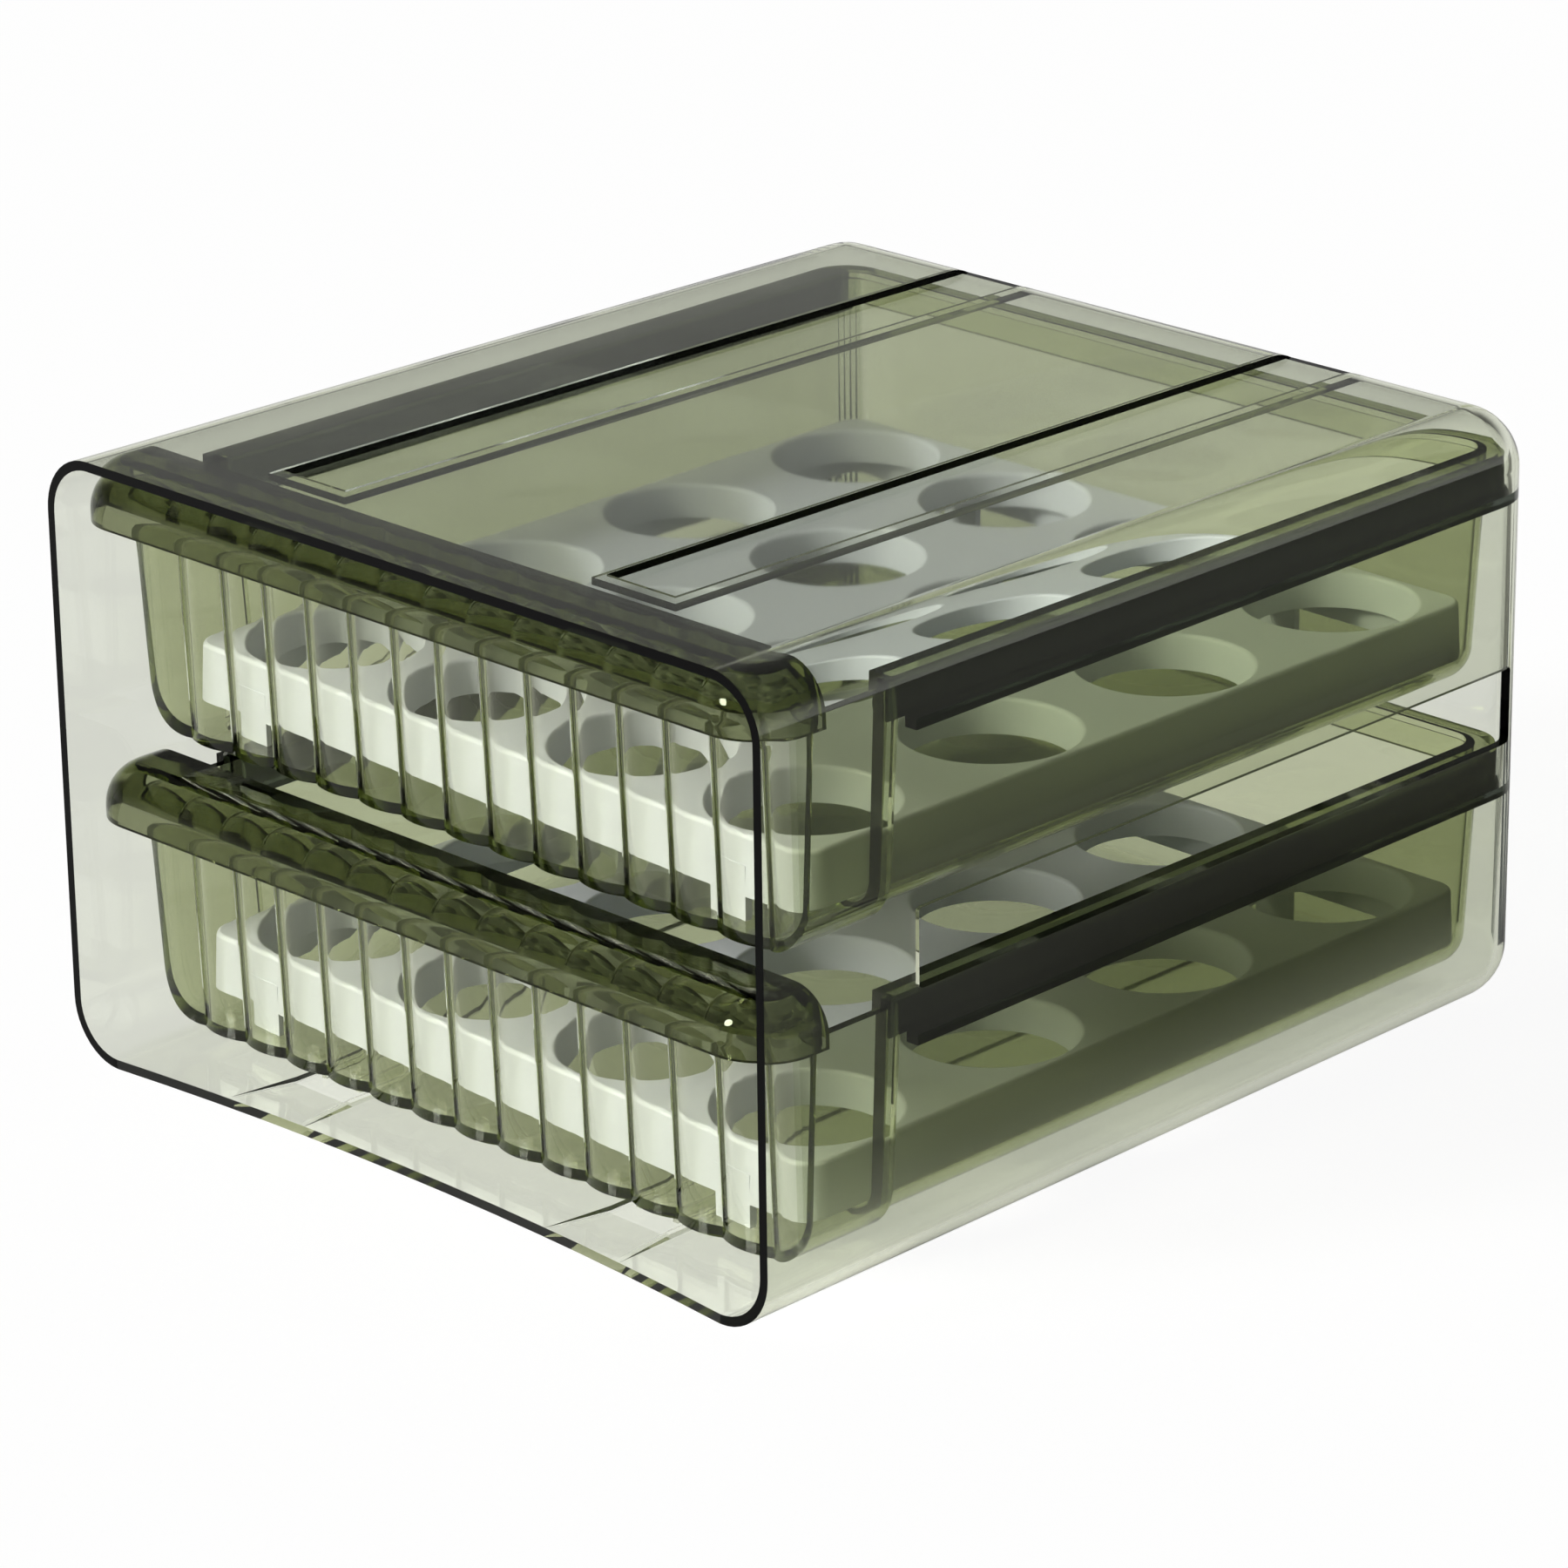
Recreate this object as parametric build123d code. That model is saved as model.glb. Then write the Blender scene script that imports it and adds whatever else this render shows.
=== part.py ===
from build123d import *
from math import sqrt
import os

# Casing, the open-fronted sleeve. All sizes in millimetres, X right, Y back, Z up.
CASE_WIDTH = 236.0
CASE_DEPTH = 268.0
CASE_BODY_HEIGHT = 154.0
CASE_WALL = 2.4
CASE_CORNER_R = 15.0
CASE_DRAFT = 1.8
FRONT_Y = -CASE_DEPTH / 2
REAR_Y = CASE_DEPTH / 2
CASE_INNER_HALF = CASE_WIDTH / 2 - CASE_WALL

# Stacking runners under the floor and the channels in the top that take them.
RUNNER_DROP = 1.2
RUNNER_X = 54.0
RUNNER_WIDTH = 20.4
RUNNER_STEP = 0.6
RUNNER_FLARE = 2.4
RUNNER_FLARE_LENGTH = 19.0
RUNNER_FRONT_GAP = 4.0
RUNNER_REAR_GAP = 16.0
STOP_RIB_X = 6.0
STOP_RIB_WIDTH = 1.6
STOP_RIB_GAP = 28.5
STOP_RIB_LENGTH = 13.5
STOP_RIB_HEIGHT = 2.0
CHANNEL_CLEARANCE = 0.6
CHANNEL_DEPTH = 1.8
CHANNEL_FRONT_GAP = 27.5
FLOOR_Z = RUNNER_DROP
TOP_Z = FLOOR_Z + CASE_BODY_HEIGHT

# Shallow arc that sets the front edge of the floor back.
SCOOP_DEPTH = 5.5
SCOOP_HALF = CASE_WIDTH / 2 - CASE_CORNER_R

# Two tiers, one drawer in each. TIER_SPARE is what the two leave of the casing's height.
TIER_SPARE = 5.0
TIER_GAP = 5.0
TIER_PITCH = (CASE_BODY_HEIGHT - TIER_SPARE) / 2
DRAWER_LIFT = 6.3
LOWER_Z = FLOOR_Z + DRAWER_LIFT
UPPER_Z = LOWER_Z + TIER_PITCH

# Drawers, two of the same moulding. Heights are above the bottom of the drawer.
DRAWER_WALL = 2.3
DRAWER_HEIGHT = TIER_PITCH - TIER_GAP
SIDE_DROP = 11.0
SIDE_TOP = DRAWER_HEIGHT - SIDE_DROP
PANEL_SIDE_GAP = 3.6
PANEL_TAPER = 3.6
PANEL_HALF = CASE_INNER_HALF - PANEL_SIDE_GAP
PANEL_BOTTOM_HALF = PANEL_HALF - PANEL_TAPER
PANEL_BOTTOM_R = 14.0
PANEL_LEAN = 2.8
PANEL_SETBACK = 20.8
PANEL_FRONT_Y = FRONT_Y + PANEL_SETBACK
FLUTES = 15
FLUTE_END_FLAT = 1.0
FLUTE_PITCH = 2 * (PANEL_HALF - FLUTE_END_FLAT) / FLUTES
FLUTE_RISE = 1.7
STEP_SETBACK = 47.5
STEP_Y = FRONT_Y + STEP_SETBACK

# Pull lip along the top of the drawer front.
LIP_SETBACK = 2.5
LIP_DEPTH = 19.9
LIP_SIDE_GAP = 1.2
LIP_SKIRT = 13.2
LIP_PLAN_R = 14.0
LIP_EDGE_R = 10.5
LIP_WALL = 2.2
LIP_HOLLOW_CUT = 5.5
LIP_FRONT_Y = FRONT_Y + LIP_SETBACK
LIP_BACK_Y = LIP_FRONT_Y + LIP_DEPTH
LIP_HALF = CASE_INNER_HALF - LIP_SIDE_GAP
LIP_BOTTOM = DRAWER_HEIGHT - LIP_SKIRT

# Rim flange that hangs the drawer on the casing's ledges.
FLANGE_SIDE_GAP = 1.4
FLANGE_REAR_GAP = 1.8
FLANGE_FRONT_REACH = 4.2
FLANGE_DROP = 8.8
FLANGE_PLATE = 2.2
FLANGE_SKIRT = 2.1
FLANGE_SKIRT_HEIGHT = 9.1
FLANGE_CORNER_R = 10.5
FLANGE_HALF = CASE_INNER_HALF - CASE_DRAFT - FLANGE_SIDE_GAP
FLANGE_FRONT_Y = STEP_Y - FLANGE_FRONT_REACH
FLANGE_REAR_Y = REAR_Y - CASE_WALL - FLANGE_REAR_GAP
FLANGE_TOP = DRAWER_HEIGHT - FLANGE_DROP
SLIDE_GAP = 0.2

# Ledges moulded on the inside of the casing.
LEDGE_THICK = 2.6
LEDGE_BEARING = 3.6
LEDGE_SETBACK = 1.9
LEDGE_SLANT = 3.0
LEDGE_TOP = FLANGE_TOP - FLANGE_SKIRT_HEIGHT - SLIDE_GAP
LEDGE_INNER_HALF = FLANGE_HALF - LEDGE_BEARING
LEDGE_FRONT_Y = STEP_Y + LEDGE_SETBACK

# Body of the drawer behind its front, between the ledges.
BODY_SIDE_GAP = 1.2
BODY_SIDE_DRAFT = 2.4
BODY_REAR_GAP = 2.8
BODY_REAR_DRAFT = 1.8
BODY_FLOOR = 2.3
BODY_CORNER_R = 9.0
BODY_HALF = LEDGE_INNER_HALF - BODY_SIDE_GAP
BODY_BOTTOM_HALF = BODY_HALF - BODY_SIDE_DRAFT
BODY_REAR_Y = FLANGE_REAR_Y - BODY_REAR_GAP

# Long window in both sides of the casing, between the two tiers.
WINDOW_FRONT_GAP = 1.3
WINDOW_REAR_GAP = 10.0
WINDOW_LOW_GAP = 2.2
WINDOW_RISE = 7.6
WINDOW_FRONT_Y = STEP_Y + WINDOW_FRONT_GAP
WINDOW_REAR_Y = REAR_Y - WINDOW_REAR_GAP
WINDOW_BOTTOM = LOWER_Z + FLANGE_TOP + WINDOW_LOW_GAP
WINDOW_TOP = UPPER_Z + WINDOW_RISE
WINDOW_R = 1.0

# Egg tray, one in each drawer.
TRAY_SIDE_GAP = 0.9
TRAY_REAR_GAP = 2.7
TRAY_FRONT_GAP = 4.4
TRAY_HALF = BODY_BOTTOM_HALF - DRAWER_WALL - TRAY_SIDE_GAP
TRAY_FRONT_Y = PANEL_FRONT_Y + DRAWER_WALL + TRAY_FRONT_GAP
TRAY_REAR_Y = BODY_REAR_Y - DRAWER_WALL - TRAY_REAR_GAP
TRAY_MIDDLE_Y = (TRAY_FRONT_Y + TRAY_REAR_Y) / 2
TRAY_HEIGHT = 14.4
TRAY_FOOT = 3.6
TRAY_WALL = 2.0
TRAY_CORNER_R = 6.0
TRAY_EDGE = 1.4
TRAY_DRAFT = 2.0
CUP_COUNT = 4
CUP_SIDES = 18
CUP_RIM_R = 21.0
CUP_DRAFT = 8.0
CUP_WALL = 1.8
CUP_EDGE_X = 3.0
CUP_EDGE_Y = 3.25
CUP_PITCH_X = 2 * (TRAY_HALF - CUP_EDGE_X - CUP_RIM_R) / (CUP_COUNT - 1)
CUP_PITCH_Y = 2 * (TRAY_REAR_Y - TRAY_MIDDLE_Y - CUP_EDGE_Y - CUP_RIM_R) / (CUP_COUNT - 1)
FRONT_TAB_INSET = 22.0
FRONT_TAB_X = TRAY_HALF - FRONT_TAB_INSET
REAR_TAB_X = CUP_PITCH_X
REAR_TAB_GAP = 12.0
TAB_WIDTH = 11.0
TAB_THICK = 1.8

# How far cutters reach past a face, and how near an edge counts as lying on one.
OVER = 2.0
TOUCH = 0.5


def front_plane(y):
    # A plane facing the front at depth y: local x is X, local y is Z.
    return Plane(origin=(0, y, 0), x_dir=(1, 0, 0), z_dir=(0, -1, 0))


def side_plane(x):
    # A plane facing the right at x: local x is Y, local y is Z.
    return Plane(origin=(x, 0, 0), x_dir=(0, 1, 0), z_dir=(1, 0, 0))


def polygon(*points):
    return make_face(Polyline(*points, close=True))


def across(outline, y_front, y_rear):
    # Pull a front-view outline from y_front back to y_rear.
    return extrude(front_plane(y_rear) * outline, y_rear - y_front)


def sideways(outline, x_middle, half_width):
    # Pull a side-view outline to both sides of x_middle.
    return extrude(side_plane(x_middle - half_width) * outline, 2 * half_width)


def slab(half, y_front, y_rear, z_bottom, z_top):
    middle = Pos(0, (y_front + y_rear) / 2, (z_bottom + z_top) / 2)
    return middle * Box(2 * half, y_rear - y_front, z_top - z_bottom)


def case_half(y):
    # Half width of the casing at depth y, narrower at the rear by its draft.
    return CASE_WIDTH / 2 - CASE_DRAFT * (y - FRONT_Y) / CASE_DEPTH


def case_top(y):
    return TOP_Z - CASE_DRAFT * (y - FRONT_Y) / CASE_DEPTH


def case_block(y_front, inset):
    # Drafted block with its long and rear edges rounded, for the outside and the hollow.
    y_rear = REAR_Y - inset
    half_front = case_half(y_front) - inset
    half_rear = case_half(y_rear) - inset
    low = FLOOR_Z + inset
    plan = polygon(
        (-half_front, y_front), (half_front, y_front),
        (half_rear, y_rear), (-half_rear, y_rear),
    )
    side = polygon(
        (y_front, low), (y_rear, low),
        (y_rear, case_top(y_rear) - inset), (y_front, case_top(y_front) - inset),
    )
    block = extrude(plan, TOP_Z + OVER) & sideways(side, 0, CASE_WIDTH)
    mouth = block.faces().sort_by(Axis.Y)[0]
    return fillet(block.edges() - mouth.edges(), CASE_CORNER_R - inset)


def channel_bar(side, half_width, y_front, drop, height):
    # Bar that follows the slope of the top, `drop` below it and `height` tall.
    y_rear = REAR_Y + OVER
    low_front = case_top(y_front) - drop
    low_rear = case_top(y_rear) - drop
    outline = polygon(
        (y_front, low_front), (y_rear, low_rear),
        (y_rear, low_rear + height), (y_front, low_front + height),
    )
    return sideways(outline, side * RUNNER_X, half_width)


def ramp(y_front, y_flare, z_bottom, height):
    # Keeps what lies above a slope that sinks by the runner's drop along its flared end.
    outline = polygon(
        (y_front, z_bottom + RUNNER_DROP), (y_flare, z_bottom), (REAR_Y, z_bottom),
        (REAR_Y, z_bottom + height), (y_front, z_bottom + height),
    )
    return sideways(outline, 0, CASE_WIDTH / 2)


def runner_bar(side, half_width, z_bottom, height, y_front, y_rear):
    # Flat bar with a flared front end.
    x = side * RUNNER_X
    y_flare = y_front + RUNNER_FLARE_LENGTH
    wide = half_width + RUNNER_FLARE
    outline = polygon(
        (x - wide, y_front), (x + wide, y_front), (x + half_width, y_flare),
        (x + half_width, y_rear), (x - half_width, y_rear), (x - half_width, y_flare),
    )
    bar = Pos(0, 0, z_bottom) * extrude(outline, height)
    return bar & ramp(y_front, y_flare, z_bottom, height)


def stop_ribs(side):
    # Two short ribs that stand side by side in the recess behind the flare.
    middle_y = FRONT_Y + STOP_RIB_GAP + STOP_RIB_LENGTH / 2
    middle_z = CASE_WALL + (STOP_RIB_HEIGHT - CASE_WALL / 2) / 2
    rib = Box(STOP_RIB_WIDTH, STOP_RIB_LENGTH, STOP_RIB_HEIGHT + CASE_WALL / 2)
    return [
        Pos(side * RUNNER_X + offset, middle_y, middle_z) * rib
        for offset in (-STOP_RIB_X, STOP_RIB_X)
    ]


def ledge(side, z_top):
    # One sliding ledge with a slanted front end.
    inner = side * LEDGE_INNER_HALF
    rear = REAR_Y - CASE_WALL / 2
    outline = polygon(
        (inner, LEDGE_FRONT_Y + LEDGE_SLANT),
        (inner, rear),
        (side * (case_half(rear) - CASE_WALL / 2), rear),
        (side * (case_half(LEDGE_FRONT_Y) - CASE_WALL / 2), LEDGE_FRONT_Y),
        (inner + side * LEDGE_SLANT, LEDGE_FRONT_Y),
    )
    return Pos(0, 0, z_top - LEDGE_THICK) * extrude(outline, LEDGE_THICK)


def side_window():
    # Cutter for the window, long enough to pass through both side walls.
    outline = RectangleRounded(
        WINDOW_REAR_Y - WINDOW_FRONT_Y, WINDOW_TOP - WINDOW_BOTTOM, WINDOW_R
    )
    middle = Pos((WINDOW_REAR_Y + WINDOW_FRONT_Y) / 2, (WINDOW_TOP + WINDOW_BOTTOM) / 2)
    return sideways(middle * outline, 0, CASE_WIDTH / 2 + OVER)


def make_casing():
    outer = case_block(FRONT_Y, 0)
    body = outer - case_block(FRONT_Y - OVER, CASE_WALL)
    runner_front = FRONT_Y + RUNNER_FRONT_GAP
    runner_rear = REAR_Y - RUNNER_REAR_GAP
    channel_front = FRONT_Y + CHANNEL_FRONT_GAP
    channel_half = RUNNER_WIDTH / 2 + CHANNEL_CLEARANCE
    ridge_half = channel_half + CASE_WALL
    for side in (-1, 1):
        ridge = channel_bar(
            side, ridge_half, channel_front - CASE_WALL,
            CASE_WALL + CHANNEL_DEPTH, CASE_WALL,
        )
        body += ridge & outer
    for side in (-1, 1):
        body -= channel_bar(side, channel_half, channel_front, CHANNEL_DEPTH, CHANNEL_DEPTH + OVER)
    for side in (-1, 1):
        body += runner_bar(
            side, RUNNER_WIDTH / 2, 0, RUNNER_DROP + CASE_WALL / 2,
            runner_front, runner_rear,
        )
        body -= runner_bar(
            side, RUNNER_WIDTH / 2 - RUNNER_STEP, CASE_WALL,
            CASE_WALL, runner_front, runner_rear - RUNNER_STEP,
        )
        body += stop_ribs(side)
        for tier_z in (LOWER_Z, UPPER_Z):
            body += ledge(side, tier_z + LEDGE_TOP) & outer
    body -= side_window()
    scoop_r = (SCOOP_HALF ** 2 + SCOOP_DEPTH ** 2) / (2 * SCOOP_DEPTH)
    scoop = Cylinder(scoop_r, CASE_CORNER_R)
    scoop_y = FRONT_Y + SCOOP_DEPTH - scoop_r
    return body - Pos(0, scoop_y, FLOOR_Z) * scoop


def flute_region(inset, depth):
    # Plan area behind the scalloped front line; `inset` moves the line inwards.
    half_pitch = FLUTE_PITCH / 2
    radius = (half_pitch ** 2 + FLUTE_RISE ** 2) / (2 * FLUTE_RISE)
    inner = radius - inset
    crest_y = radius - inner
    valley_y = radius - sqrt(inner ** 2 - half_pitch ** 2)
    reach = PANEL_HALF + OVER
    edge = FLUTES * half_pitch
    sides = [
        Line((-edge, valley_y), (-reach, valley_y)),
        Line((-reach, valley_y), (-reach, depth)),
        Line((-reach, depth), (reach, depth)),
        Line((reach, depth), (reach, valley_y)),
        Line((reach, valley_y), (edge, valley_y)),
    ]
    for i in range(FLUTES):
        left = i * FLUTE_PITCH - edge
        right = left + FLUTE_PITCH
        crest = (left + half_pitch, crest_y)
        sides += [ThreePointArc((left, valley_y), crest, (right, valley_y))]
    return make_face(sides)


def leaning_prism(inset):
    # The flutes lean back towards the bottom, so they are pulled along a tilted line.
    slope = PANEL_LEAN / DRAWER_HEIGHT
    foot = Plane(origin=(0, PANEL_FRONT_Y, 0), x_dir=(1, 0, 0), z_dir=(0, -slope, 1))
    region = flute_region(inset, STEP_Y + OVER - PANEL_FRONT_Y)
    return extrude(foot.offset(-OVER) * region, DRAWER_HEIGHT + 2 * OVER)


def panel_outline(inset, top, top_r):
    # Front view of the drawer front: tapered sides and rounded corners.
    taper = PANEL_TAPER / SIDE_TOP
    low = PANEL_BOTTOM_HALF - inset + taper * inset
    shoulder = min(top, SIDE_TOP)
    high = PANEL_BOTTOM_HALF - inset + taper * shoulder
    points = [(-low, inset), (low, inset), (high, shoulder)]
    if top > SIDE_TOP:
        points += [(high, top), (-high, top)]
    points += [(-high, shoulder)]
    face = polygon(*points)
    face = fillet(face.vertices().sort_by(Axis.Y)[:2], PANEL_BOTTOM_R - inset)
    if top_r:
        face = fillet(face.vertices().group_by(Axis.Y)[-1], top_r)
    return face


def lip_block(inset, z_bottom):
    # Block of the lip with rounded front corners, smaller by `inset` for its hollow.
    block = slab(LIP_HALF - inset, LIP_FRONT_Y + inset, LIP_BACK_Y, z_bottom, DRAWER_HEIGHT - inset)
    upright = block.edges().filter_by(Axis.Z).group_by(Axis.Y)[0]
    return fillet(upright, LIP_PLAN_R - inset)


def lip_top_edges(block):
    top_edges = block.faces().sort_by(Axis.Z)[-1].edges()
    return [edge for edge in top_edges if edge.center().Y < LIP_BACK_Y - TOUCH]


def body_block(inset, z_top):
    # Drafted body behind the drawer front, with its rear and lower edges rounded.
    draft = BODY_SIDE_DRAFT / SIDE_TOP
    rear_draft = BODY_REAR_DRAFT / SIDE_TOP
    low = BODY_FLOOR + inset
    front = STEP_Y - DRAWER_WALL - inset
    half_low = BODY_BOTTOM_HALF + draft * low - inset
    half_high = BODY_BOTTOM_HALF + draft * z_top - inset
    rear_low = BODY_REAR_Y - rear_draft * (SIDE_TOP - low) - inset
    rear_high = BODY_REAR_Y - rear_draft * (SIDE_TOP - z_top) - inset
    front_view = polygon(
        (-half_low, low), (half_low, low), (half_high, z_top), (-half_high, z_top)
    )
    side_view = polygon((front, low), (rear_low, low), (rear_high, z_top), (front, z_top))
    block = across(front_view, front, BODY_REAR_Y) & sideways(side_view, 0, PANEL_HALF)
    mouth = block.faces().sort_by(Axis.Z)[-1].edges()
    face = block.faces().sort_by(Axis.Y)[0].edges()
    return fillet(block.edges() - mouth - face, BODY_CORNER_R - inset)


def flange_ring(half, y_front, y_rear, corner_r, z_bottom, z_top):
    block = slab(half, y_front, y_rear, z_bottom, z_top)
    corners = block.edges().filter_by(Axis.Z).group_by(Axis.Y)[-1]
    return fillet(corners, corner_r)


def make_drawer():
    high = DRAWER_HEIGHT + OVER
    front_skin = leaning_prism(0)
    front_void = leaning_prism(DRAWER_WALL)
    outer_view = across(panel_outline(0, DRAWER_HEIGHT, LIP_EDGE_R), LIP_FRONT_Y, STEP_Y)
    inner_view = across(panel_outline(DRAWER_WALL, high, 0), LIP_FRONT_Y, STEP_Y - DRAWER_WALL)
    front = (outer_view & front_skin) - (inner_view & front_void)
    front -= slab(PANEL_HALF + OVER, LIP_BACK_Y, STEP_Y + OVER, SIDE_TOP, high + OVER)
    shell = body_block(0, SIDE_TOP)
    skirt_bottom = LEDGE_TOP + SLIDE_GAP
    flange = flange_ring(
        FLANGE_HALF, FLANGE_FRONT_Y, FLANGE_REAR_Y, FLANGE_CORNER_R,
        skirt_bottom, FLANGE_TOP,
    )
    flange -= flange_ring(
        FLANGE_HALF - FLANGE_SKIRT, FLANGE_FRONT_Y - OVER, FLANGE_REAR_Y - FLANGE_SKIRT,
        FLANGE_CORNER_R - FLANGE_SKIRT, skirt_bottom - OVER, FLANGE_TOP - FLANGE_PLATE,
    )
    room = body_block(DRAWER_WALL, FLANGE_TOP + OVER)
    drawer = front + shell + flange - room
    drawer -= inner_view & slab(
        PANEL_HALF, PANEL_FRONT_Y + 2 * DRAWER_WALL, STEP_Y, SIDE_TOP, high
    )
    lip = lip_block(0, LIP_BOTTOM)
    lip = fillet(lip_top_edges(lip), LIP_EDGE_R)
    hollow = lip_block(LIP_WALL, LIP_BOTTOM - OVER)
    hollow = chamfer(lip_top_edges(hollow), LIP_HOLLOW_CUT)
    return drawer + lip - (hollow - front_skin)


def drafted(block, neutral_z, angle):
    # Lean the upright faces about the height neutral_z, inwards above it.
    flat = block.faces().filter_by(Axis.Z)
    return draft(block.faces() - flat, Plane.XY.offset(neutral_z), angle)


def cup_prism(radius, z_low, z_high):
    # Egg cup as a ring of flat sides, since 32 round ones are too many faces. It has its
    # radius at the rim and narrows downwards.
    outline = Pos(0, 0, z_low) * RegularPolygon(radius, CUP_SIDES, major_radius=False)
    return drafted(extrude(outline, z_high - z_low), TRAY_HEIGHT, -CUP_DRAFT)


def tray_block(inset, z_bottom):
    # Drafted block, smaller by `inset` all round, with its upright edges rounded.
    outline = Rectangle(2 * (TRAY_HALF - inset), TRAY_REAR_Y - TRAY_FRONT_Y - 2 * inset)
    height = TRAY_HEIGHT - inset - z_bottom
    block = extrude(Pos(0, TRAY_MIDDLE_Y, z_bottom) * outline, height)
    block = drafted(block, 0, TRAY_DRAFT)
    flat = block.faces().filter_by(Axis.Z).edges()
    return fillet(block.edges() - flat, TRAY_CORNER_R - inset)


def make_tray():
    block = tray_block(0, 0)
    block = chamfer(block.faces().sort_by(Axis.Z)[-1].edges(), TRAY_EDGE)
    tray = block - tray_block(TRAY_WALL, -OVER)
    spots = GridLocations(CUP_PITCH_X, CUP_PITCH_Y, CUP_COUNT, CUP_COUNT)
    middle = Pos(0, TRAY_MIDDLE_Y, 0)
    cup = cup_prism(CUP_RIM_R + CUP_WALL, 0, TRAY_HEIGHT - TRAY_WALL / 2)
    hole = cup_prism(CUP_RIM_R, -OVER, TRAY_HEIGHT + OVER)
    tray += [middle * spot * cup for spot in spots]
    tray -= [middle * spot * hole for spot in spots]
    # It stands on two tabs of its front wall and two tabs behind the last row.
    # The front ones are longer, as the drawer floor steps down by BODY_FLOOR there.
    tabs = [
        (FRONT_TAB_X, TRAY_FRONT_Y + TRAY_WALL / 2, TRAY_FOOT + BODY_FLOOR, TRAY_HEIGHT / 2),
        (REAR_TAB_X, TRAY_REAR_Y - REAR_TAB_GAP, TRAY_FOOT, TRAY_HEIGHT - TRAY_WALL / 2),
    ]
    for x, y, drop, top in tabs:
        for side in (-1, 1):
            tray += Pos(side * x, y, (top - drop) / 2) * Box(TAB_WIDTH, TAB_THICK, top + drop)
    return tray


def main():
    os.makedirs("parts", exist_ok=True)
    drawer = make_drawer()
    tray = make_tray()
    tray_z = BODY_FLOOR + DRAWER_WALL + TRAY_FOOT
    nodes = {
        "casing": make_casing(),
        "lower_drawer": Pos(0, 0, LOWER_Z) * drawer,
        "upper_drawer": Pos(0, 0, UPPER_Z) * drawer,
        "lower_egg_tray": Pos(0, 0, LOWER_Z + tray_z) * tray,
        "upper_egg_tray": Pos(0, 0, UPPER_Z + tray_z) * tray,
    }
    for name, shape in nodes.items():
        export_step(shape, f"parts/{name}.step")


main()
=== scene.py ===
from math import cos, pi, radians, sin, tan

import bpy
from mathutils import Matrix, Vector


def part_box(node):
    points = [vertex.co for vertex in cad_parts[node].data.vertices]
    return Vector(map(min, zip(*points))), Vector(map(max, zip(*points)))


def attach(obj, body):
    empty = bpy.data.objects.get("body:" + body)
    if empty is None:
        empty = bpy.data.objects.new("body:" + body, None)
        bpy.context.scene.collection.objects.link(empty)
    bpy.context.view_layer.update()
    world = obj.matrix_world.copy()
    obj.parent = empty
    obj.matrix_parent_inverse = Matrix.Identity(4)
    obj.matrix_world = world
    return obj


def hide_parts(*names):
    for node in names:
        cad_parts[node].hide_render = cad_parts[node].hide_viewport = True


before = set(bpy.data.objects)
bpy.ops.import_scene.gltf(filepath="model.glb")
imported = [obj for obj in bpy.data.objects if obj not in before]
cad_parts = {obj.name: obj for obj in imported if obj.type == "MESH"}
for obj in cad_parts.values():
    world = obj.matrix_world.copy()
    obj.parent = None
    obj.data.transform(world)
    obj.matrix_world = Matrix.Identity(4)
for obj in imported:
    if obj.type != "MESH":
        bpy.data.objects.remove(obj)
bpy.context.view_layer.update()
scene = bpy.context.scene

# Camera: the photograph's long lens, from the front right and a little above.
# Place, turn and focal length come from a fit of the casing's edges.
CAMERA_PLACE = (1.0272, -1.0423, 0.6267)
CAMERA_AZIMUTH = 44.81
CAMERA_ELEVATION = 21.03
CAMERA_ROLL = -0.71
CAMERA_LENS_MM = 149.29

camera = bpy.data.objects.new("camera", bpy.data.cameras.new("camera"))
scene.collection.objects.link(camera)
camera.data.lens = CAMERA_LENS_MM
camera.data.sensor_width = 36.0
camera.data.clip_start = 0.05
camera.data.clip_end = 60.0
camera.matrix_world = (
    Matrix.Translation(CAMERA_PLACE)
    @ Matrix.Rotation(radians(CAMERA_AZIMUTH), 4, "Z")
    @ Matrix.Rotation(radians(90 - CAMERA_ELEVATION), 4, "X")
    @ Matrix.Rotation(radians(CAMERA_ROLL), 4, "Z")
)
scene.camera = camera
scene.view_settings.view_transform = "Standard"

# Light passes many clear walls here, so paths may be long; what stays trapped in a wall goes dark.
scene.cycles.max_bounces = 28
scene.cycles.transmission_bounces = 28
scene.cycles.glossy_bounces = 12
scene.cycles.diffuse_bounces = 4
scene.cycles.transparent_max_bounces = 32
scene.cycles.use_denoising = True

# Floor and surroundings: a seamless white sweep, which the clear walls show behind them.
# The floor is a lit matt white that keeps the object's soft shadow.
FLOOR_RADIUS = 9.0
FLOOR_HEX = "#e2e2e0"
FLOOR_SHADE_HEX = "#a6a6a2"
FLOOR_GLOW = 1.1
SEEN_SHARE = 0.85
THROUGH_SHARE = 0.45
MIRRORED_SHARE = 0.20
SHADE_ENDS = (("X", 0.122, 0.17), ("Y", -0.14, -0.02))


def linear(hex_colour):
    """sRGB hex to a linear colour with alpha 1."""
    channels = [int(hex_colour[i:i + 2], 16) / 255 for i in (1, 3, 5)]
    levels = [c / 12.92 if c <= 0.04045 else ((c + 0.055) / 1.055) ** 2.4 for c in channels]
    return (*levels, 1)


def add_node(tree, kind, inputs=None, links=None, **settings):
    """A shader node with its settings, its input values and what feeds its inputs."""
    node = tree.nodes.new(kind)
    for name, value in settings.items():
        setattr(node, name, value)
    for name, value in (inputs or {}).items():
        node.inputs[name].default_value = value
    for name, source in (links or {}).items():
        tree.links.new(source, node.inputs[name])
    return node


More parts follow.
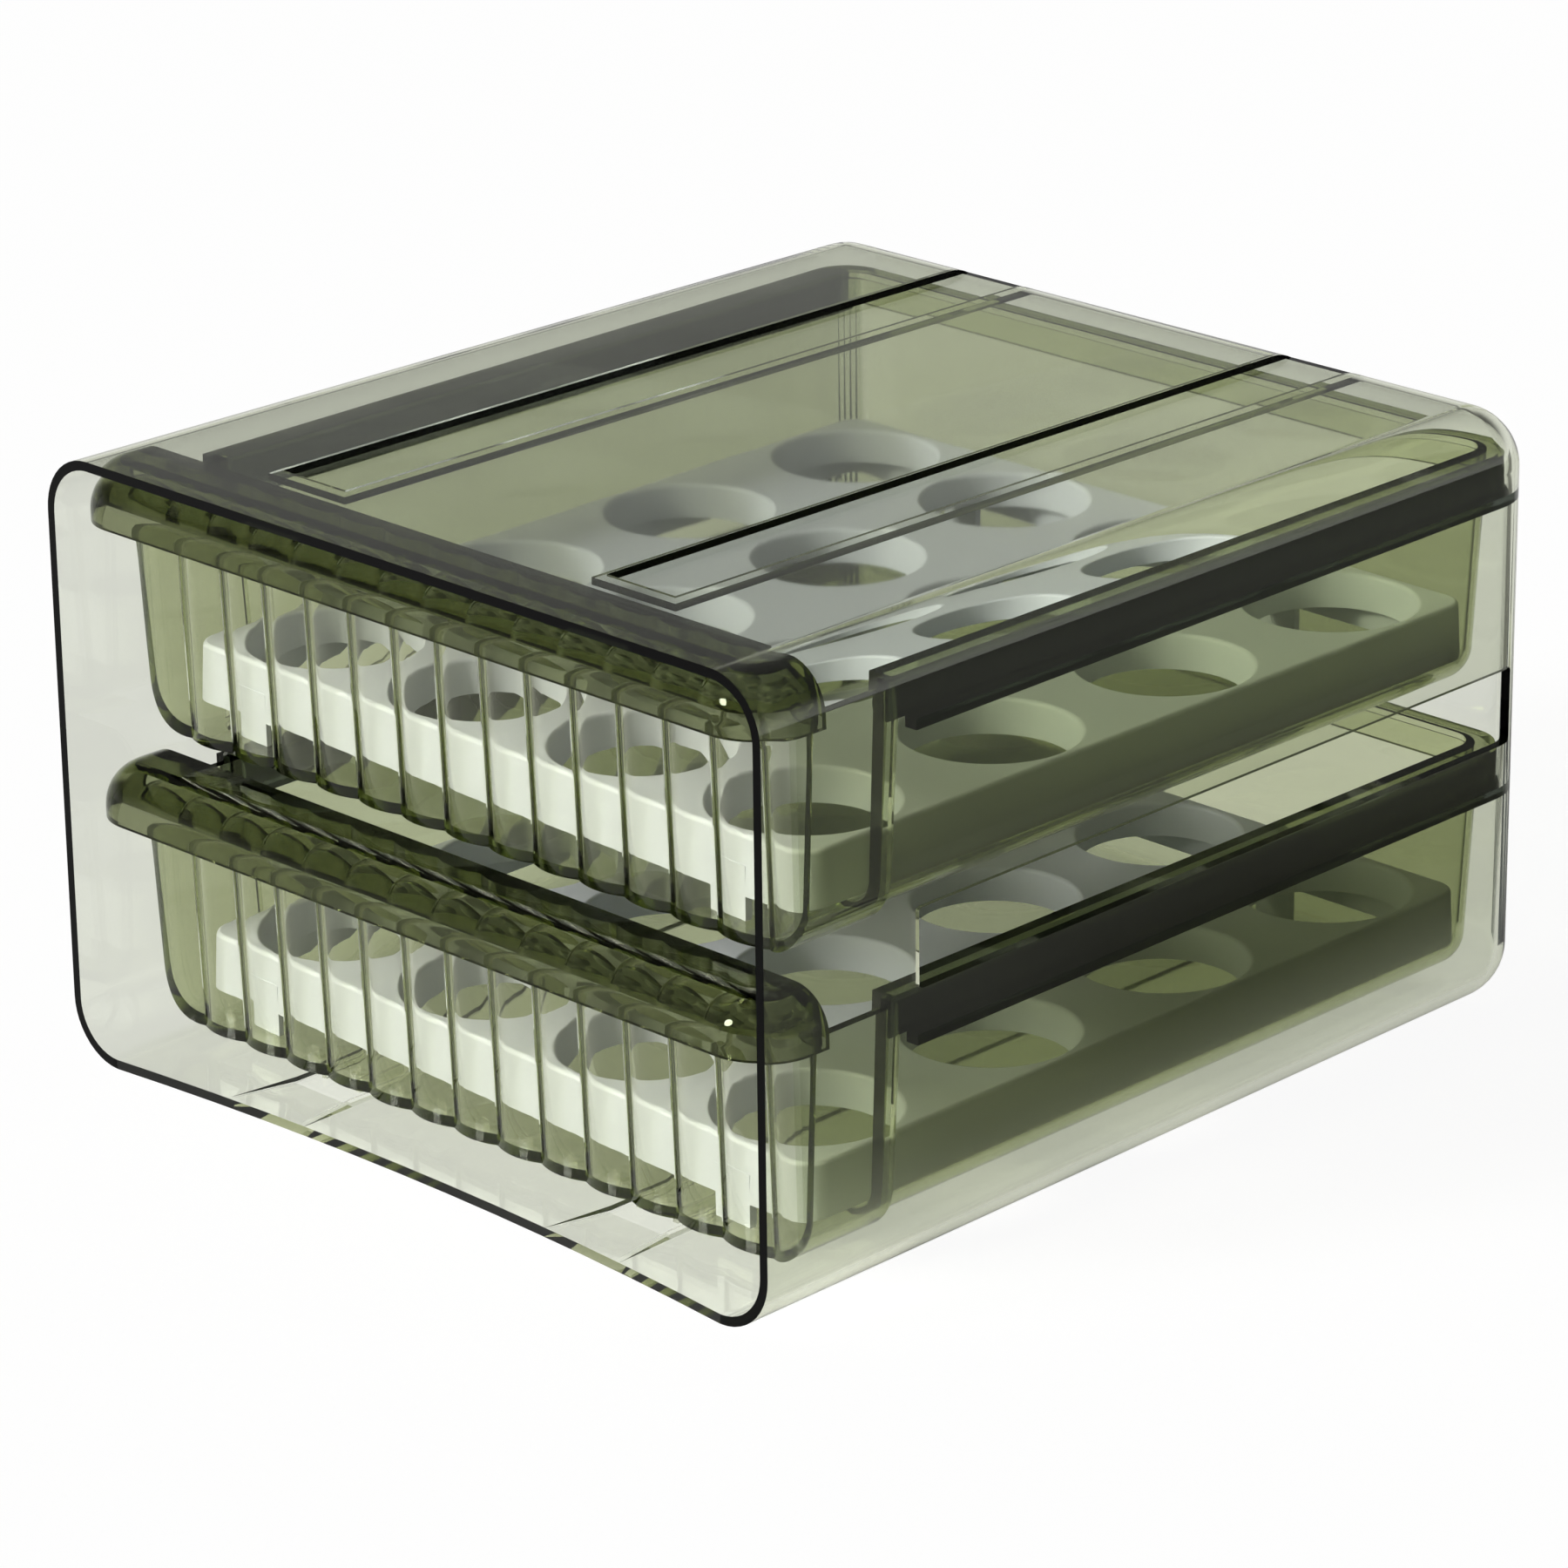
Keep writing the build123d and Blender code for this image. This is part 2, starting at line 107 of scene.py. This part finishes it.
bpy.ops.object.select_all(action="DESELECT")
bpy.ops.mesh.primitive_circle_add(
    vertices=64, radius=FLOOR_RADIUS, fill_type="NGON", location=(0, 0, 0))
floor = bpy.context.object
floor.name = "studio_floor"
floor_paper = bpy.data.materials.new("studio_paper_white")
floor_paper.use_nodes = True
tree = floor_paper.node_tree
tree.nodes.clear()
path = add_node(tree, "ShaderNodeLightPath")
# Painted shade: right of the object and behind it, mirrored rays see the floor painted darker, and
# mirrored and see-through rays get less glow there, so the walls mirror less light.
spot = add_node(tree, "ShaderNodeTexCoord")
split = add_node(tree, "ShaderNodeSeparateXYZ", links={0: spot.outputs["Object"]})
shade = None
for axis, start, end in SHADE_ENDS:
    ramp = add_node(tree, "ShaderNodeMapRange", interpolation_type="SMOOTHSTEP",
                    inputs={"From Min": start, "From Max": end},
                    links={"Value": split.outputs[axis]})
    if shade:
        ramp = add_node(tree, "ShaderNodeMath", operation="MULTIPLY",
                        links={0: ramp.outputs[0], 1: shade.outputs[0]})
    shade = ramp
open_floor = add_node(tree, "ShaderNodeMapRange", inputs={"To Min": 1.0, "To Max": 0.0},
                      links={"Value": shade.outputs[0]})
mirrored = add_node(tree, "ShaderNodeMath", operation="MULTIPLY", inputs={1: MIRRORED_SHARE},
                    links={0: path.outputs["Is Glossy Ray"]})
shiny = add_node(tree, "ShaderNodeMath", operation="MULTIPLY_ADD", inputs={1: THROUGH_SHARE},
                 links={0: path.outputs["Is Transmission Ray"], 2: mirrored.outputs[0]})
shiny = add_node(tree, "ShaderNodeMath", operation="MULTIPLY",
                 links={0: shiny.outputs[0], 1: open_floor.outputs[0]})
direct = add_node(tree, "ShaderNodeMath", operation="MULTIPLY", inputs={1: SEEN_SHARE},
                  links={0: path.outputs["Is Camera Ray"]})
share = add_node(tree, "ShaderNodeMath", operation="MAXIMUM",
                 links={0: shiny.outputs[0], 1: direct.outputs[0]})
shaded = add_node(tree, "ShaderNodeMath", operation="MULTIPLY",
                  links={0: shade.outputs[0], 1: path.outputs["Is Glossy Ray"]})
white = add_node(tree, "ShaderNodeMix", data_type="RGBA", links={"Factor": shaded.outputs[0]},
                 inputs={6: linear(FLOOR_HEX), 7: linear(FLOOR_SHADE_HEX)})
paper = add_node(tree, "ShaderNodeBsdfDiffuse", links={"Color": white.outputs[2]})
glow = add_node(tree, "ShaderNodeEmission", inputs={"Color": (1, 1, 1, 1), "Strength": FLOOR_GLOW})
mix = add_node(tree, "ShaderNodeMixShader",
               links={0: share.outputs[0], 1: paper.outputs[0], 2: glow.outputs[0]})
add_node(tree, "ShaderNodeOutputMaterial", links={"Surface": mix.outputs[0]})
floor.data.materials.append(floor_paper)

# Surroundings: bright low down and dark overhead for mirrored rays, dim for matt surfaces.
HORIZON_GLOW = 0.8
CEILING_GLOW = 0.10
GLOW_ENDS = (0.02, 0.40)
world = bpy.data.worlds.new("studio_surround")
scene.world = world
world.use_nodes = True
tree = world.node_tree
tree.nodes.clear()
heading = add_node(tree, "ShaderNodeTexCoord")
split = add_node(tree, "ShaderNodeSeparateXYZ", links={0: heading.outputs["Generated"]})
dome = add_node(tree, "ShaderNodeMapRange", interpolation_type="SMOOTHSTEP",
                inputs={"From Min": GLOW_ENDS[0], "From Max": GLOW_ENDS[1],
                        "To Min": HORIZON_GLOW, "To Max": CEILING_GLOW},
                links={"Value": split.outputs["Z"]})
path = add_node(tree, "ShaderNodeLightPath")
shiny = add_node(tree, "ShaderNodeMath", operation="MAXIMUM",
                 links={0: path.outputs["Is Glossy Ray"], 1: path.outputs["Is Transmission Ray"]})
level = add_node(tree, "ShaderNodeMix", data_type="FLOAT", inputs={"A": CEILING_GLOW},
                 links={"Factor": shiny.outputs[0], "B": dome.outputs[0]})
level = add_node(tree, "ShaderNodeMath", operation="MAXIMUM",
                 links={0: level.outputs[0], 1: path.outputs["Is Camera Ray"]})
sky = add_node(tree, "ShaderNodeBackground", inputs={"Color": (1, 1, 1, 1)},
               links={"Strength": level.outputs[0]})
add_node(tree, "ShaderNodeOutputWorld", links={"Surface": sky.outputs[0]})

# Key light: a broad lamp from the front left. It sets the sparkles at the pull lips' ends.
KEY_ENERGY = 2.4
KEY_BREADTH = radians(14)
KEY_FROM = (-0.40, -0.80, 0.50)
key = bpy.data.objects.new("key_lamp", bpy.data.lights.new("key_lamp", "SUN"))
key.data.energy = KEY_ENERGY
key.data.angle = KEY_BREADTH
key.rotation_euler = Vector(KEY_FROM).to_track_quat("Z", "Y").to_euler()
scene.collection.objects.link(key)

# Casing: a one-piece sleeve, injection moulded in clear plastic with a faint grey-green cast.
# Its polished walls are 2.4 mm thick and look near black where they are seen end-on; there, and on
# the channel walls, that dark is painted in as painted shade.
MM = 0.001
case_low, case_high = [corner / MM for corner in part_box("casing")]
tops = [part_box(f"{tier}_drawer")[1].z / MM for tier in ("upper", "lower")]
WALL = 2.4
FLANGE_DROP = 8.8
SKIRT_HEIGHT = 9.1
LEDGE_THICK = 2.6
LEDGE_INNER = 108.8
WINDOW_Z = (70.4, 89.6)
WINDOW_FRONT_Y = -85.2
CHANNEL_REACH = 70.0
NEAR = 0.3
CASING_WALL_HEX = "#f6f8f2"
# Painted shade: near black on faces seen end-on, dark grey on the channel walls.
END_ON_PAINTED_SHADE_HEX = "#14181a"
CHANNEL_PAINTED_SHADE_HEX = "#3c4240"
CASING_TINT = (0.45, 0.50, 0.10, 1)
CASING_DENSITY = 48.0
CASING_SHADOW = (0.94, 0.94, 0.94, 1)
PLASTIC_IOR = 1.57
WAVES_PER_METRE = 22.0
WAVE_HEIGHT = 0.8 * MM
SMOOTH_BELOW = 28
MERGE_WITHIN = 0.001 * MM


def smooth_copy(node_name, piece_name):
    """A merged copy of a CAD node's mesh, smooth across edges flatter than the limit."""
    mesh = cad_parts[node_name].data.copy()
    mesh.materials.clear()
    piece = bpy.data.objects.new(piece_name, mesh)
    scene.collection.objects.link(piece)
    bpy.ops.object.select_all(action="DESELECT")
    bpy.context.view_layer.objects.active = piece
    piece.select_set(True)
    bpy.ops.object.mode_set(mode="EDIT")
    bpy.ops.mesh.select_all(action="SELECT")
    bpy.ops.mesh.remove_doubles(threshold=MERGE_WITHIN)
    bpy.ops.object.mode_set(mode="OBJECT")
    if mesh.has_custom_normals:
        bpy.ops.mesh.customdata_custom_splitnormals_clear()
    bpy.ops.object.shade_smooth_by_angle(angle=radians(SMOOTH_BELOW))
    even = piece.modifiers.new("even_walls", "WEIGHTED_NORMAL")
    even.mode = "FACE_AREA"
    even.weight = 80
    even.keep_sharp = True
    bpy.ops.object.modifier_apply(modifier=even.name)
    return piece


def store_tint_light_and_shade(piece, tint):
    """Store each face's tint, painted light and painted shade included, chosen by its centre in
    millimetres and its normal.
    """
    tints = piece.data.attributes.new("wall_tint_light_and_shade", "FLOAT_COLOR", "FACE")
    for face in piece.data.polygons:
        tints.data[face.index].color = linear(tint(face.center / MM, face.normal))


def clear_plastic(name, tint, density, shadow):
    """Polished see-through moulding: tint and density of the plastic, tint of its shadow."""
    material = bpy.data.materials.new(name)
    material.use_nodes = True
    tree = material.node_tree
    tree.nodes.clear()
    place = add_node(tree, "ShaderNodeTexCoord")
    waves = add_node(tree, "ShaderNodeTexNoise", inputs={"Scale": WAVES_PER_METRE, "Detail": 1.0},
                     links={"Vector": place.outputs["Object"]})
    bump = add_node(tree, "ShaderNodeBump", inputs={"Strength": 0.10, "Distance": WAVE_HEIGHT},
                    links={"Height": waves.outputs["Fac"]})
    # Each face's stored colour, painted light and shade included, sets both base colour and
    # reflection tint, so painted-dark faces also mirror darker.
    wall = add_node(tree, "ShaderNodeAttribute", attribute_name="wall_tint_light_and_shade")
    gloss = add_node(tree, "ShaderNodeBsdfPrincipled",
                     inputs={"Roughness": 0.02, "IOR": PLASTIC_IOR, "Transmission Weight": 1.0},
                     links={"Normal": bump.outputs[0], "Base Color": wall.outputs["Color"],
                            "Specular Tint": wall.outputs["Color"]})
    through = add_node(tree, "ShaderNodeBsdfTransparent", inputs={"Color": shadow})
    path = add_node(tree, "ShaderNodeLightPath")
    mix = add_node(tree, "ShaderNodeMixShader",
                   links={0: path.outputs["Is Shadow Ray"], 1: gloss.outputs[0],
                          2: through.outputs[0]})
    absorb = add_node(tree, "ShaderNodeVolumeAbsorption",
                      inputs={"Color": tint, "Density": density})
    add_node(tree, "ShaderNodeOutputMaterial",
             links={"Surface": mix.outputs[0], "Volume": absorb.outputs[0]})
    return material


def casing_tint_and_painted_shade(centre, normal):
    """Front rim, window edges, sliding ledges and channel walls are seen end-on; they get painted
    shade, the rest the wall's pale tint.
    """
    side = abs(centre.x)
    if normal.y < -0.9 and centre.y < case_low.y + NEAR:
        return END_ON_PAINTED_SHADE_HEX
    cut = side > case_high.x - 2 * WALL and abs(normal.x) < 0.1
    if cut and centre.y > WINDOW_FRONT_Y - NEAR:
        if WINDOW_Z[0] - NEAR < centre.z < WINDOW_Z[1] + NEAR:
            return END_ON_PAINTED_SHADE_HEX
    for top in tops:
        above = top - FLANGE_DROP - SKIRT_HEIGHT - centre.z
        if LEDGE_INNER - NEAR < side < case_high.x - WALL and -NEAR < above < LEDGE_THICK + NEAR:
            return END_ON_PAINTED_SHADE_HEX
    if centre.z > case_high.z - 2 * WALL and abs(normal.x) > 0.7 and side < CHANNEL_REACH:
        return CHANNEL_PAINTED_SHADE_HEX
    return CASING_WALL_HEX


# Clear styrene: glossy, a trace of green-grey in the mass, and waves from the mould's flow.
pale_clear = clear_plastic("pale_clear_styrene", CASING_TINT, CASING_DENSITY, CASING_SHADOW)
casing = smooth_copy("casing", "casing_shell")
store_tint_light_and_shade(casing, casing_tint_and_painted_shade)
casing.data.materials.append(pale_clear)
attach(casing, "casing")
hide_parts("casing")

# Drawers: two of the same moulding in olive-tinted clear plastic, with a fluted front.
# The pull lip and the flange along the rim are one with the drawer.
LIP_SKIRT = 13.2
LIP_REAR_Y = -111.6
FLANGE_FRONT_Y = -91.0
PANEL_REAR_Y = -108.5
PANEL_FLAT_HALF = 106.0
REAR_Y = 110.0
DRAWER_TINT = (0.46, 0.52, 0.12, 1)
DRAWER_DENSITY = 120.0
DRAWER_SHADOW = (0.95, 0.93, 1.0, 1)
DRAWER_WALL_HEX = "#d6dac4"
# Painted light: front and rear paler than the walls. Painted shade: the lip darker, the flange near
# black.
FRONT_PAINTED_LIGHT_HEX = "#f4f4ee"
REAR_PAINTED_LIGHT_HEX = "#f6f8ea"
LIP_PAINTED_SHADE_HEX = "#9a9e84"
FLANGE_PAINTED_SHADE_HEX = "#1c2118"


def drawer_tint_light_and_shade(top):
    """Tints of a drawer whose rim is at the given height: its front and rear are painted palest as
    painted light, its lip and flange darker as painted shade.
    """
    def tint(centre, normal):
        above = top - FLANGE_DROP - centre.z
        rim = abs(centre.x) > LEDGE_INNER - NEAR and abs(normal.z) < 0.5
        if rim and centre.y > FLANGE_FRONT_Y and -NEAR < above < SKIRT_HEIGHT + NEAR:
            return FLANGE_PAINTED_SHADE_HEX
        if centre.y < LIP_REAR_Y + NEAR and centre.z > top - LIP_SKIRT - NEAR:
            return LIP_PAINTED_SHADE_HEX
        if centre.y < PANEL_REAR_Y and abs(centre.x) < PANEL_FLAT_HALF:
            return FRONT_PAINTED_LIGHT_HEX
        if abs(normal.y) > 0.9 and centre.y > REAR_Y:
            return REAR_PAINTED_LIGHT_HEX
        return DRAWER_WALL_HEX
    return tint


# Olive-tinted styrene: the same glossy plastic with more colour in the mass.
olive_clear = clear_plastic("olive_clear_styrene", DRAWER_TINT, DRAWER_DENSITY, DRAWER_SHADOW)
for tier in ("upper", "lower"):
    drawer = smooth_copy(f"{tier}_drawer", f"{tier}_fluted_drawer")
    store_tint_light_and_shade(drawer, drawer_tint_light_and_shade(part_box(f"{tier}_drawer")[1].z / MM))
    drawer.data.materials.append(olive_clear)
    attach(drawer, f"{tier}_drawer")
    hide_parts(f"{tier}_drawer")

# Egg trays: opaque off-white polypropylene, each moulded in one piece with sixteen round cups.
# The cups are open below with rounded rims, and two tabs at each end stand on the drawer floor.
TRAY_HEX = "#e4e8f4"
TRAY_IOR = 1.49
GRAINS_PER_METRE = 900.0
GRAIN_HEIGHT = 0.2 * MM

# Polypropylene: satin, with a fine grain from the mould.
tray_white = bpy.data.materials.new("off_white_polypropylene")
tray_white.use_nodes = True
tree = tray_white.node_tree
tree.nodes.clear()
place = add_node(tree, "ShaderNodeTexCoord")
grain = add_node(tree, "ShaderNodeTexNoise", inputs={"Scale": GRAINS_PER_METRE, "Detail": 2.0},
                 links={"Vector": place.outputs["Object"]})
bump = add_node(tree, "ShaderNodeBump", inputs={"Strength": 0.12, "Distance": GRAIN_HEIGHT},
                links={"Height": grain.outputs["Fac"]})
skin = add_node(tree, "ShaderNodeBsdfPrincipled",
                inputs={"Base Color": linear(TRAY_HEX), "Roughness": 0.42, "IOR": TRAY_IOR},
                links={"Normal": bump.outputs[0]})
add_node(tree, "ShaderNodeOutputMaterial", links={"Surface": skin.outputs[0]})

TRAY_DEEP = 14.4 * MM
TRAY_DRAFT = tan(radians(2))
TRAY_SKIN = 2.0 * MM
CORNER_R = 6.0 * MM
EDGE_R = 1.2 * MM
ARC_STEPS = 4
CUPS = 4
CUP_PITCH = (52.0 * MM, 60.0 * MM)
CUP_R = 21.0 * MM
CUP_DRAFT = tan(radians(8))
CUP_WALL = 1.8 * MM
CUP_DEEP = 8.5 * MM
CUP_STEPS = 96
CORNER_STEPS = 8
RIM_R = CUP_R + EDGE_R
TAB = (11.0 * MM, 1.8 * MM)
TAB_X = (80.0 * MM, 52.0 * MM)
TABS_REACH = (5.9 * MM, 3.6 * MM)
REAR_TAB_IN = 12.0 * MM
TRAY_SMOOTH_BELOW = 40


def pick(piece, kind, wanted):
    """Select only the mesh parts of one kind whose centre and normal, or two ends, are wanted."""
    bpy.ops.object.mode_set(mode="EDIT")
    bpy.ops.mesh.select_mode(type={"polygons": "FACE", "edges": "EDGE"}[kind])
    bpy.ops.mesh.select_all(action="DESELECT")
    bpy.ops.object.mode_set(mode="OBJECT")
    spots = piece.data.vertices
    for part in getattr(piece.data, kind):
        ends = [spots[i].co for i in part.vertices]
        part.select = wanted(ends, part.normal if kind == "polygons" else ends[1] - ends[0])
    bpy.ops.object.mode_set(mode="EDIT")


def apply_modifier(piece, name, kind, **settings):
    """Add a modifier with its settings and apply it."""
    bpy.ops.object.mode_set(mode="OBJECT")
    modifier = piece.modifiers.new(name, kind)
    for key, value in settings.items():
        setattr(modifier, key, value)
    bpy.ops.object.modifier_apply(modifier=name)


def join(pieces):
    """Join the pieces into the last one and leave it active."""
    bpy.ops.object.select_all(action="DESELECT")
    for piece in pieces:
        piece.select_set(True)
    bpy.context.view_layer.objects.active = pieces[-1]
    bpy.ops.object.join()
    return bpy.context.object


tray_low, tray_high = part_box("lower_egg_tray")
half = Vector((tray_high.x, (tray_high.y - tray_low.y) / 2, TRAY_DEEP / 2))
middle = Vector((0, (tray_high.y + tray_low.y) / 2, tray_high.z - TRAY_DEEP / 2))
top_z = tray_high.z
foot_z = top_z - TRAY_DEEP
cup_spots = [
    Vector((CUP_PITCH[0] * (i - (CUPS - 1) / 2), middle.y + CUP_PITCH[1] * (j - (CUPS - 1) / 2), 0))
    for i in range(CUPS) for j in range(CUPS)
]

bpy.ops.object.select_all(action="DESELECT")
bpy.ops.mesh.primitive_cube_add(size=2, location=middle, scale=half)
tray = bpy.context.object
tray.name = "lower_tray"
bpy.ops.object.transform_apply(location=True, rotation=True, scale=True)
pick(tray, "polygons", lambda ends, normal: normal.z > 0.5)
narrower = [1 - TRAY_DEEP * TRAY_DRAFT / half.x, 1 - TRAY_DEEP * TRAY_DRAFT / half.y, 1]
bpy.ops.transform.resize(value=narrower, center_override=middle + Vector((0, 0, TRAY_DEEP / 2)))
pick(tray, "edges", lambda ends, run: abs(run.z) > TRAY_DEEP / 2)
bpy.ops.mesh.bevel(offset=CORNER_R, segments=CORNER_STEPS)
pick(tray, "polygons", lambda ends, normal: normal.z < -0.5)
bpy.ops.mesh.delete(type="FACE")
apply_modifier(tray, "walls", "SOLIDIFY", thickness=TRAY_SKIN, offset=-1, use_even_offset=True)
pick(tray, "edges", lambda ends, run: min(end.z for end in ends) > top_z - EDGE_R / 2)
bpy.ops.mesh.bevel(offset=EDGE_R, segments=ARC_STEPS)
bpy.ops.object.mode_set(mode="OBJECT")

cutters = []
for spot in cup_spots:
    bpy.ops.mesh.primitive_cylinder_add(vertices=CUP_STEPS, radius=RIM_R, depth=4 * TRAY_SKIN,
                                        location=spot + Vector((0, 0, top_z)))
    bpy.ops.object.transform_apply(location=True, rotation=True, scale=True)
    cutters.append(bpy.context.object)
cutter = join(cutters)
bpy.ops.object.select_all(action="DESELECT")
bpy.context.view_layer.objects.active = tray
apply_modifier(tray, "cup_holes", "BOOLEAN", object=cutter, operation="DIFFERENCE", solver="EXACT")
bpy.data.objects.remove(cutter)


def on_hole_wall(ends, normal):
    """The upright strip that the cutter leaves round a hole, where the cup's own skin goes."""
    centre = sum(ends, Vector()) / len(ends)
    reach = min((Vector((centre.x, centre.y, 0)) - spot).length for spot in cup_spots)
    return abs(normal.z) < 0.5 and reach < RIM_R + EDGE_R / 4


tray.select_set(True)
pick(tray, "polygons", on_hole_wall)
bpy.ops.mesh.delete(type="FACE")
bpy.ops.object.mode_set(mode="OBJECT")

# One cup's skin: from the deck over the rounded rim, down inside and up outside to the deck again.
turns = [pi / 2 * k / ARC_STEPS for k in range(ARC_STEPS + 1)]
inside = [(RIM_R - EDGE_R * sin(turn), top_z - EDGE_R * (1 - cos(turn))) for turn in turns]
inner_foot = CUP_R - CUP_DEEP * CUP_DRAFT
cup_z = top_z - CUP_DEEP
outside = [(inner_foot + CUP_WALL, cup_z), (RIM_R, top_z - TRAY_SKIN)]
skin_line = inside + [(inner_foot, cup_z)] + outside
cups = []
for spot in cup_spots:
    bpy.ops.object.select_all(action="DESELECT")
    bpy.ops.mesh.primitive_plane_add(size=1, location=(0, 0, 0))
    cup = bpy.context.object
    cup.data.clear_geometry()
    cup.data.from_pydata([spot + Vector((r, 0, z)) for r, z in skin_line],
                         [(k, k + 1) for k in range(len(skin_line) - 1)], [])
    bpy.ops.object.mode_set(mode="EDIT")
    bpy.ops.mesh.select_all(action="SELECT")
    bpy.ops.mesh.spin(steps=CUP_STEPS, angle=2 * pi, center=spot, axis=(0, 0, 1))
    bpy.ops.mesh.select_all(action="SELECT")
    bpy.ops.mesh.remove_doubles(threshold=MERGE_WITHIN)
    bpy.ops.object.mode_set(mode="OBJECT")
    cups.append(cup)

for row, x in enumerate(TAB_X):
    y = (tray_low.y + TRAY_SKIN / 2, tray_high.y - REAR_TAB_IN)[row]
    for side in (-1, 1):
        size = Vector((TAB[0], TAB[1], TRAY_DEEP / 2 + TABS_REACH[row])) / 2
        foot = Vector((side * x, y, foot_z - TABS_REACH[row] + size.z))
        bpy.ops.mesh.primitive_cube_add(size=2, scale=size, location=foot)
        bpy.ops.object.transform_apply(location=True, rotation=True, scale=True)
        cups.append(bpy.context.object)
tray = join(cups + [tray])
bpy.ops.object.mode_set(mode="EDIT")
bpy.ops.mesh.select_all(action="SELECT")
bpy.ops.mesh.remove_doubles(threshold=2 * MERGE_WITHIN)
bpy.ops.mesh.normals_make_consistent(inside=False)
bpy.ops.object.mode_set(mode="OBJECT")
bpy.ops.object.shade_smooth_by_angle(angle=radians(TRAY_SMOOTH_BELOW))
apply_modifier(tray, "even_deck", "WEIGHTED_NORMAL", mode="FACE_AREA", weight=80, keep_sharp=True)
tray.data.materials.clear()
tray.data.materials.append(tray_white)

upper_tray = bpy.data.objects.new("upper_tray", tray.data.copy())
scene.collection.objects.link(upper_tray)
upper_tray.data.transform(Matrix.Translation((0, 0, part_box("upper_egg_tray")[1].z - top_z)))
for tier, piece in (("lower", tray), ("upper", upper_tray)):
    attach(piece, f"{tier}_egg_tray")
    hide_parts(f"{tier}_egg_tray")
